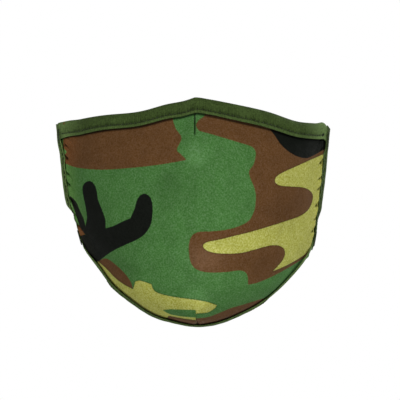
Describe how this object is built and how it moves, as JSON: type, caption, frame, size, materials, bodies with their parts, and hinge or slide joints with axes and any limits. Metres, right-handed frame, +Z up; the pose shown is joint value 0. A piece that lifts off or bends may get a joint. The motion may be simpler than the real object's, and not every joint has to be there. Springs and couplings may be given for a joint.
{
  "type": "cloth face mask",
  "caption": "Camouflage cloth face mask with a darted cup, taped edges, a wire over the nose and elastic loops that hook behind the ears.",
  "frame": {"origin": "middle of the plane through the two side edges, where the mask meets the wearer's face", "axes": "+X to the right as seen from the front, +Y towards the wearer, +Z up"},
  "size_m": [0.153, 0.0696, 0.1264],
  "materials": {
    "outer_panel": "matt printed knit in camouflage greens, brown, khaki and black",
    "filter": "matt non-woven",
    "liner": "matt plain knit",
    "binding": "matt ribbed olive tape",
    "thread": "spun sewing thread",
    "nose_wire": "soft bare strip",
    "ear_loop": "flat ribbed elastic"
  },
  "bodies": {
    "mask": {"outer_panel": "outer_panel", "filter_layer": "filter", "inner_liner": "liner", "top_binding": "binding", "bottom_binding": "binding", "left_side_binding": "binding", "right_side_binding": "binding", "nose_wire": "nose_wire", "top_binding_stitching": "thread", "bottom_binding_stitching": "thread", "left_side_stitching": "thread", "right_side_stitching": "thread", "nose_dart_stitching": "thread", "chin_dart_stitching": "thread", "left_upper_bartack": "thread", "left_lower_bartack": "thread", "right_upper_bartack": "thread", "right_lower_bartack": "thread"},
    "left_ear_loop": {"left_ear_loop": "ear_loop"},
    "right_ear_loop": {"right_ear_loop": "ear_loop"}
  },
  "joints": [
    {"name": "left_ear_loop_swing", "type": "hinge", "parent": "mask", "child": "left_ear_loop", "pos_m": [-0.07166, 0.0033, 0.04135], "axis": [-0.1168, 0, 0.9932], "range_deg": [0, 180]},
    {"name": "right_ear_loop_swing", "type": "hinge", "parent": "mask", "child": "right_ear_loop", "pos_m": [0.07166, 0.0033, 0.04135], "axis": [-0.1168, 0, -0.9932], "range_deg": [0, 180]}
  ]
}
